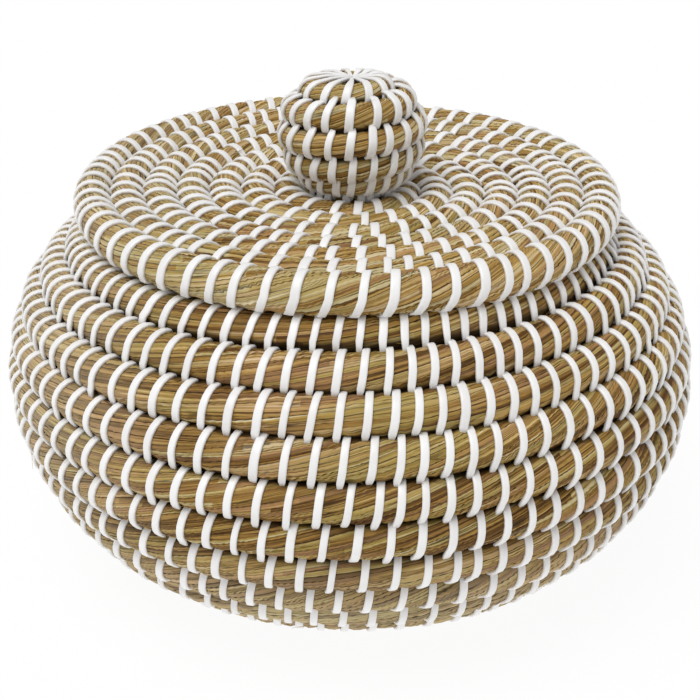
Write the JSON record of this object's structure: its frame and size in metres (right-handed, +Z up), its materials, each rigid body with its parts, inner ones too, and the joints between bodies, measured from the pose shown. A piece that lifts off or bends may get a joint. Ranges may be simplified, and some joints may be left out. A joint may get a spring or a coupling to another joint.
{
  "type": "lidded coiled basket",
  "caption": "Round bowl-shaped storage basket of coiled seagrass lashed with white plastic strip, with a lift-off dished lid and a coiled ball knob.",
  "frame": {"origin": "on the floor under the middle of the base", "axes": "+Z up through the knob, -Y towards the viewer of the picture"},
  "size_m": [0.3, 0.3001, 0.2093],
  "materials": {
    "seagrass": "matte",
    "packed_grass": "matte",
    "white_strip": "satin"
  },
  "bodies": {
    "basket": {"body_coil": "seagrass"},
    "lid": {"lid_coil": "seagrass", "lid_locating_ring": "seagrass", "knob_coil": "seagrass", "knob_core": "packed_grass", "knob_tie": "white_strip"}
  },
  "joints": [
    {"name": "lid_lift", "type": "slide", "parent": "basket", "child": "lid", "axis": [0, 0, 1], "range_m": [0, 0.2]}
  ]
}
